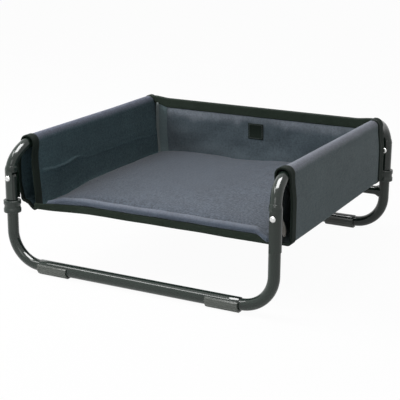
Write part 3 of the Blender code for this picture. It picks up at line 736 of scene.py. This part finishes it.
def make_wall(side):
    """The loop: its outer skin from front to rear, then its inner skin back, closed at both ends."""
    count = 110
    y = np.linspace(WALL_FRONT + HEM, WALL_REAR - HEM, count)
    g = np.repeat([CLOTH, LINING], count)
    across = np.concatenate([y, 2 * y[-1] - y[::-1], [2 * y[-1] - y[0]]])
    points = wall_points(side, np.concatenate([y, y[::-1]]), g)
    obj = closed(surface(SIDES[side] + "_wall_cloth", points, True, True, wall_map(across)))
    # The left loop wears the copy of the cloth that is toned to the shade on its inner face.
    wear(obj, shaded_left_cloth if side < 0 else wall_cloth, None, SIDES[side] + "_wall_loop")
    hang(obj)
    tapes = [make_tape(side, "front", WALL_FRONT, 1), make_tape(side, "rear", WALL_REAR, -1)]
    return obj


# ---- seat

def seat_heights(x, y):
    """The pad's thickness: t + c (1 - u^2)(1 - v^2) - k |u|^6 - m(x) v^6, with u and v from -1 to 1 across the seat;
    m is deepest left of the middle and none on the right, and the last of the front falls off by v^18."""
    u = x / SEAT_X
    v = (y - SEAT_MID) / SEAT_HALF
    rear = 0.0095 * (1 - ease(x / 0.09)) + 0.006 * hill(x + 0.025, 0.045)
    side = SEAT_SINK * (1 - 0.8 * (u > 0) * np.maximum(v, 0) ** 2)
    sink = side * np.abs(u) ** 6 + rear * (1 - 0.5 * np.abs(u) ** 6) * np.maximum(v, 0) ** 6
    front = 0.0055 * np.maximum(-v, 0) ** 18
    puckers = 0.0005 * np.sin(31 * x + 17 * y) * np.sin(23 * y - 11 * x + 0.7)
    return SEAT_TALL - 0.002 + SEAT_CROWN * (1 - u * u) * (1 - v * v) - sink - front + puckers


def seat_droop(x, y):
    """The pad's front left corner hangs lower, by two smooth steps multiplied."""
    return -0.0105 * ease((-x - 0.15) / 0.09) * ease((-0.05 - y) / 0.14)


def make_seat():
    """A closed pillow, puffed up: its top and bottom meet in a rim where the thickness follows
    (1 - |u|^n)(1 - |v|^n) to the 1/2."""
    u = np.sin(np.linspace(-1, 1, 121) * np.pi / 2)
    uu, vv = np.meshgrid(u, u, indexing="ij")
    rim = np.sqrt(np.clip((1 - np.abs(uu) ** 40) * (1 - np.abs(vv) ** 40), 0, 1))
    x, y = uu * (SEAT_X - 0.002), SEAT_MID + vv * (SEAT_HALF - 0.002)
    tall = seat_heights(x, y)
    middle = WALL_LOW + 0.001 + 0.45 * tall + seat_droop(x, y)
    top = np.stack([x, y, middle + 0.55 * tall * rim], -1)
    low = np.stack([x, y, middle - 0.45 * tall * rim], -1)
    obj = leaf("seat_cushion", top, low)
    puff(obj, voxel=0.0055, limit=0.004)
    wear(obj, seat_cloth, "frame", "seat_pad")
    return obj


def puff(obj, voxel, limit, frames=20):
    """Fill a closed form with air as cloth, hold every point within a limit of its start, and smooth the result."""
    scene = bpy.context.scene
    bpy.context.view_layer.objects.active = obj
    remesh = obj.modifiers.new("even", "REMESH")
    remesh.mode = "VOXEL"
    remesh.voxel_size = voxel
    bpy.context.view_layer.update()
    mesh = bpy.data.meshes.new_from_object(obj.evaluated_get(bpy.context.evaluated_depsgraph_get()))
    obj.modifiers.clear()
    obj.data = mesh
    start = read(mesh)
    cloth = obj.modifiers.new("air", "CLOTH")
    air = dict(quality=6, mass=0.15, tension_stiffness=18, compression_stiffness=12, bending_stiffness=0.4,
               use_pressure=True, uniform_pressure_force=4.0)
    for key, value in air.items():
        setattr(cloth.settings, key, value)
    cloth.settings.effector_weights.gravity = 0.0
    cloth.point_cache.frame_start, cloth.point_cache.frame_end = 1, frames
    for step in range(1, frames + 1):
        scene.frame_set(step)
    moved = read(obj.evaluated_get(bpy.context.evaluated_depsgraph_get()).to_mesh()) - start
    obj.modifiers.clear()
    scene.frame_set(1)
    far = np.linalg.norm(moved, axis=1, keepdims=True)
    moved *= np.minimum(1.0, limit / np.maximum(far, 1e-9))
    place = start + moved
    place[:, 0] = np.clip(place[:, 0], -SEAT_X, SEAT_X)
    place[:, 1] = np.clip(place[:, 1], SEAT_FRONT, SEAT_REAR)
    place[:, 2] = np.maximum(place[:, 2], WALL_LOW + seat_droop(place[:, 0], place[:, 1]))
    mesh.vertices.foreach_set("co", place.astype(np.float32).ravel())
    mesh.update()
    finer = obj.modifiers.new("finer", "SUBSURF")
    finer.levels = finer.render_levels = 1
    mesh.shade_smooth()


def read(mesh):
    """The mesh's points, one per row."""
    co = np.empty(len(mesh.vertices) * 3, np.float32)
    mesh.vertices.foreach_get("co", co)
    return co.reshape(-1, 3).astype(float)


def make_seat_band():
    """Webbing folded under the seat's front edge: its section runs down the front, round the edge and back beneath,
    carried along X with a slow wave of half a millimetre."""
    x = np.linspace(-SEAT_X, SEAT_X, 150)
    near, low, top, w, r = SEAT_FRONT - 0.0003, WALL_LOW - 0.0020, 0.1372, WEBBING, 0.003
    outer = np.concatenate([
        [[near - w, top - 0.0004]], [[near - w, z] for z in np.linspace(top - 0.004, low + r, 5)],
        arc(near - w + r, low - w + r, r, 180, 270, 9)[1:],
        [[near + 0.009, low - w], [near + 0.0136, low - w], [near + 0.014, low - w / 2], [near + 0.0136, low]]])
    r -= w
    inner = np.concatenate([
        [[near + 0.006, low]], arc(near + r, low + r, r, 180, 270, 9)[::-1],
        [[near, z] for z in np.linspace(low + 0.006, top - 0.0004, 4)], [[near - w / 2, top]]])
    section = np.concatenate([outer, inner])
    lift = 0.0006 * np.sin(23 * x) + 0.0004 * np.sin(61 * x + 1.0)
    sag = -0.0062 * ease((-x - 0.12) / 0.11)
    yy = section[None, :, 0] - 0.0003 * np.sin(37 * x)[:, None]
    zz = section[None, :, 1] + (lift * 0.5 + sag)[:, None]
    zz -= 0.0055 * ease((-0.200 - x) / 0.05)[:, None] * np.clip((zz - low) / (top - low), 0, 1)
    points = np.stack([x[:, None] + 0 * yy, yy, zz], -1)
    caps = [np.broadcast_to(points[k].mean(0), (1,) + points.shape[1:]) for k in (0, -1)]
    points = np.concatenate([caps[0], points, caps[1]])
    u = np.concatenate([[x[0]], x, [x[-1]]])
    uv = flat_map(lengths(section), u)[..., ::-1]
    obj = closed(surface("seat_front_band", points, True, False, uv))
    return wear(obj, edge_webbing, "frame", "seat_front_tape")


def make_seat_roll():
    """The pad's rolled front edge: an ellipse carried along X that dips and thins at both corners, c(x) falling by a
    smooth step at each end."""
    deep, tall, left, long = 0.0066, 0.0074, -0.2290, 0.4825
    t = np.linspace(0, 1, 170)
    x = left + long * t
    fall_left, fall_right = ease((-0.186 - x) / 0.043), ease((x - 0.2215) / 0.031)
    z = 0.1432 - 0.0070 * ease((-x - 0.12) / 0.11) - 0.0055 * fall_left - 0.0125 * fall_right
    z = z + 0.0005 * np.sin(27 * x) + 0.0003 * np.sin(83 * x)
    y = SEAT_FRONT + 0.0040 - 0.0050 * fall_right
    thin = 1 - 0.45 * fall_left - 0.15 * fall_right
    tip = np.minimum(np.minimum(t, 1 - t) / 0.010, 1)
    thin = thin * np.sqrt(1 - (1 - tip) ** 2)
    a = whole_turn(36)
    ring = np.stack([x[:, None] + 0 * a, y[:, None] - deep * thin[:, None] * np.cos(a),
                     z[:, None] + tall * thin[:, None] * np.sin(a)], -1)
    obj = closed(surface("seat_front_roll", ring, around=True))
    wear(obj, roll_cloth, "frame", "seat_pad")


# ---- back wall

def back_half(z):
    """Half the back wall's width at a height: up to the side walls' slanted inner faces."""
    drop = (RAIL_Z - np.maximum(z, WALL_FOOT)) / (RAIL_Z - WALL_FOOT)
    return X - SLEEVE_IN - CLOTH - 0.0013 - WALL_SPREAD * drop - 0.0005 - inward(1, 0.2, np.minimum(z, RAIL_Z))


def back_lean(x, z):
    """How far the back wall stands behind its plane: a bow, and soft folds in its lower half."""
    across = (1 - np.minimum(1, np.abs(x) / SEAT_X) ** 2) ** 2
    bow = 0.004 * across * ease((z - WALL_LOW) / 0.045) * ease((WEBBING_LOW - z) / 0.045)
    low = ease((WEBBING_LOW - z) / 0.03) * ease((z - 0.128) / 0.02) * ease((0.25 - np.abs(x)) / 0.05)
    folds = 0.7 * np.sin(29 * x + 60 * z + 0.6) + 0.6 * np.sin(53 * x - 85 * z + 1.3) * np.sin(17 * x + 0.4)
    folds = folds + 0.45 * np.sin(105 * z + 16 * x + 2.0 * np.sin(21 * x))
    return bow + 0.0011 * low * folds


def corner_lift(x, z):
    """Towards the corners the webbing climbs to the rail's crown, its lower edge more than its upper one."""
    share = (BACK_TOP - z) / (BACK_TOP - WEBBING_LOW)
    return ease((np.abs(x) - 0.226) / 0.037) * (0.0030 + 0.0050 * np.clip(share, 0, 1))


def back_halves(name, rows, material, node, reach=(0, 1), lift=None):
    """A closed panel in two halves that meet at x = 0; rows gives (y, z) of its section, and its width follows z.
    reach is the part of the half width that it covers, and lift(x, z) how far it is raised."""
    rows = np.asarray(rows, float)
    y, z = rows[:, :1], rows[:, 1:]
    half = np.minimum(back_half(np.minimum(z, RAIL_Z)), back_half(WEBBING_LOW))
    if lift:
        half = half + 0.004 + 0.014 * ease((z - WEBBING_LOW - 0.004) / 0.014)
    x = np.linspace(*reach, 90 if reach[0] == 0 else 12) * half
    zz = z + lift(x, z) if lift else z + 0 * x
    made = []
    for side in (-1, 1):
        yy = y + back_lean(side * x, z)
        points = np.stack([side * x, yy, zz], -1)
        end = points[:, -1:].copy()
        end[..., 1] = (yy.min(0)[-1] + yy.max(0)[-1]) / 2
        points = np.concatenate([points, end], 1)
        uv = flat_map(side * np.append(x[0], x[0, -1]), lengths(rows))
        obj = closed(surface(f"{SIDES[side]}_{name}", points[::-side], False, True, uv[::-side]))
        wear(obj, material, None, *node)
        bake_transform(obj)
        made.append(obj)
    return made


def make_back():
    """The padded panel, a strip and piping on it by each side wall, and the webbing folded over its top edge."""
    near, far = BACK_FRONT, BACK_FRONT + BACK_DEEP
    up = np.linspace(WALL_LOW + 0.001, BACK_TOP - 0.002, 60)
    rows = [(near + 0.0012, WALL_LOW)] + [(near, z) for z in up] + [(near + 0.0012, BACK_TOP)]
    rows += [(far - 0.0012, BACK_TOP)] + [(far, z) for z in up[::-1]] + [(far - 0.0012, WALL_LOW)]
    cloth_halves = back_halves("back_cloth", rows, back_cloth, ["back_wall"])
    for name, cloth, edge, face, rear, top, reach in (
            ("corner_strip", strip_cloth, 0.0008, 0.0010, -0.0002, 0.244, (0.885, 1.0)),
            ("corner_piping", lit_pipe_cloth, 0.0012, 0.0040, 0.0012, 0.246, (0.966, 0.986))):
        rows = [(near - edge, 0.129), (near - face, 0.131)] + [(near - face, z) for z in np.linspace(0.134, top, 24)]
        rows += [(near - rear, z) for z in np.linspace(top, 0.129, 26)]
        cloth_halves += back_halves(name, rows, cloth, [], reach)
    near, far, top, w = near - 0.0003, far + 0.0003, BACK_TOP + 0.0003, WEBBING
    up = np.linspace(WEBBING_LOW + 0.0005, top - 0.001, 12)[:-2]
    down = up[::-1]
    turn = np.radians(np.linspace(180, 0, 9))
    middle, half = (near + far) / 2, (far - near) / 2
    over, under = ([(middle + (half + d) * math.cos(a), top - 0.002 + (d + 0.002) * math.sin(a)) for a in turn]
                   for d in (w, 0.0))
    rows = [(near - w / 2, WEBBING_LOW)] + [(near - w, z) for z in up] + over + [(far + w, z) for z in down]
    rows += [(far + w / 2, WEBBING_LOW)] + [(far, z) for z in up] + under[::-1] + [(near, z) for z in down]
    back_halves("back_webbing", rows, edge_webbing, ["back_top_webbing"], lift=corner_lift)


def make_flap():
    """A pale leaf that hangs inside the right loop near its front, widest near its foot: painted light, a lit patch
    inside the loop given as a pale sheet.
    """
    t, w = np.meshgrid(np.linspace(0, 1, 16), np.linspace(-1, 1, 9), indexing="ij")
    wide = 0.0058 * np.sin(np.pi * np.clip(1 - 0.93 * t, 0, 1)) ** 0.6 * (1 - t) ** 0.35 + 0.0002
    x = X - 0.0045 - 0.004 * t + wide * w
    y = -0.2415 + 0.002 * w * w + 0.001 * t
    z = 0.1355 + 0.0310 * t
    obj = leaf("right_lit_flap", np.stack([x, y, z], -1), np.stack([x, y + 0.0008, z], -1))
    wear(obj, lit_flap_cloth, None)
    return hang(obj)


def make_patch():
    """A plain patch sewn on the back: a thin slab with pressed edges that follows the wall's bow."""
    half_x, tall, below = 0.01825, 0.0355, 0.0357
    high = BACK_TOP - below
    low = high - tall
    u, v = np.meshgrid(np.linspace(-1, 1, 41), np.linspace(0, 1, 43))
    rim = ease((1 - np.abs(u)) / 0.06) * ease((1 - np.abs(2 * v - 1)) / 0.06)
    x, z = -0.006 + half_x * u, low + (high - low) * v
    y = BACK_FRONT - 0.0003 + back_lean(x, z)
    front = np.stack([x, y - 0.0004 - 0.0007 * rim, z], -1)
    rear = np.stack([x, y + 0.0001, z], -1)
    border = np.minimum(half_x * (1 - np.abs(u)), (high - low) * (0.5 - np.abs(v - 0.5)))
    uv = np.stack([x + z, border + 0.02], -1)
    uv = np.concatenate([uv, uv[::-1], uv[:1]])
    obj = closed(surface("back_patch", np.concatenate([front, rear[::-1]]), False, True, uv))
    return wear(obj, webbing, "frame", "back_sewn_patch")


# ---- room

def make_room():
    """A plain floor that the eye sees white except for a soft shadow, and a white surround."""
    corner = np.array([[[-6, -6, 0], [6, -6, 0]], [[-6, 6, 0], [6, 6, 0]]], float)
    floor = surface("floor", corner)
    pale = (0.93, 0.93, 0.93, 1)
    material, tree, _ = finish("pale_floor", roughness=0.6, base_color=pale, specular_ior_level=0.2)
    out = next(n for n in tree.nodes if n.type == "OUTPUT_MATERIAL")
    white = put(tree, "Emission", {0: (1, 1, 1, 1), 1: 1.0})
    look = put(tree, "LightPath").outputs
    seen = calc(tree, "MULTIPLY", look["Is Glossy Ray"], 0.55)
    seen = linear(tree, look["Is Camera Ray"], 0.96, seen)
    both = put(tree, "MixShader", {0: seen, 1: tree.nodes["Principled BSDF"].outputs[0], 2: white.outputs[0]})
    tree.links.new(both.outputs[0], out.inputs[0])
    coat(floor, material)
    floor.location.z = -0.0002
    world = bpy.data.worlds.new("white_room")
    bpy.context.scene.world = world
    world.use_nodes = True
    tree = world.node_tree
    back = tree.nodes["Background"]
    back.inputs[0].default_value = (1, 1, 1, 1)
    look = put(tree, "LightPath").outputs
    seen = calc(tree, "MAXIMUM", look["Is Camera Ray"], look["Is Glossy Ray"])
    seen = calc(tree, "MAXIMUM", seen, look["Is Transmission Ray"])
    tree.links.new(put(tree, "Mix", {0: seen, 2: 0.22, 3: 1.0}, data_type="FLOAT").outputs[0], back.inputs[1])


def make_lamp(name, spot, aim, size, power, glossy=True, diffuse=True):
    """A rectangular lamp turned towards a place."""
    data = bpy.data.lights.new(name, "AREA")
    data.shape = "RECTANGLE"
    data.size, data.size_y = size
    data.energy = power
    obj = added(name, data)
    obj.location = spot
    obj.rotation_euler = (Vector(aim) - Vector(spot)).to_track_quat("-Z", "Y").to_euler()
    obj.visible_glossy, obj.visible_diffuse = glossy, diffuse


def make_camera():
    data = bpy.data.cameras.new("camera")
    data.sensor_width = 36.0
    data.lens = FOCAL / PICTURE * 36.0
    obj = added("camera", data)
    pose = Matrix.Translation(EYE)
    for angle, axis in ((HEADING, "Z"), (90 - DOWN, "X"), (ROLL, "Z")):
        pose = pose @ Matrix.Rotation(math.radians(angle), 4, axis)
    obj.matrix_world = pose
    bpy.context.scene.camera = obj


make_camera()
make_room()
middle_of_bed, front_base = (0, 0, 0.15), (0, -0.29, 0.03)
make_lamp("key", (-1.80, -0.65, 1.50), middle_of_bed, (1.3, 1.1), 50, glossy=False)
make_lamp("overhead", (-0.10, -0.30, 2.30), middle_of_bed, (0.8, 0.8), 9, glossy=False)
make_lamp("front_fill", (0.4, -2.4, 1.3), middle_of_bed, (1.2, 0.9), 6)
make_lamp("streak", (-1.20, -1.27, 2.25), front_base, (1.6, 0.34), 17, diffuse=False)
make_lamp("softbox", (0.10, -0.40, 2.25), middle_of_bed, (1.55, 1.30), 120, diffuse=False)
bpy.context.scene.view_settings.view_transform = "Standard"

for y_end in (-1, 1):
    make_base_tube(y_end)
make_cross_tube()
for x_side in (-1, 1):
    make_rail(x_side)
    make_collar(x_side)
    make_wall(x_side)
    for y_end in (-1, 1):
        make_leg(x_side, y_end)
        make_sleeve(x_side, y_end)
        make_rivet(x_side, y_end)
        make_foot(x_side, y_end)
        coat(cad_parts[f"{ENDS[y_end]}_{SIDES[x_side]}_pivot_plug"], nylon)
make_seat()
make_seat_band()
make_seat_roll()
make_back()
make_patch()
make_flap()
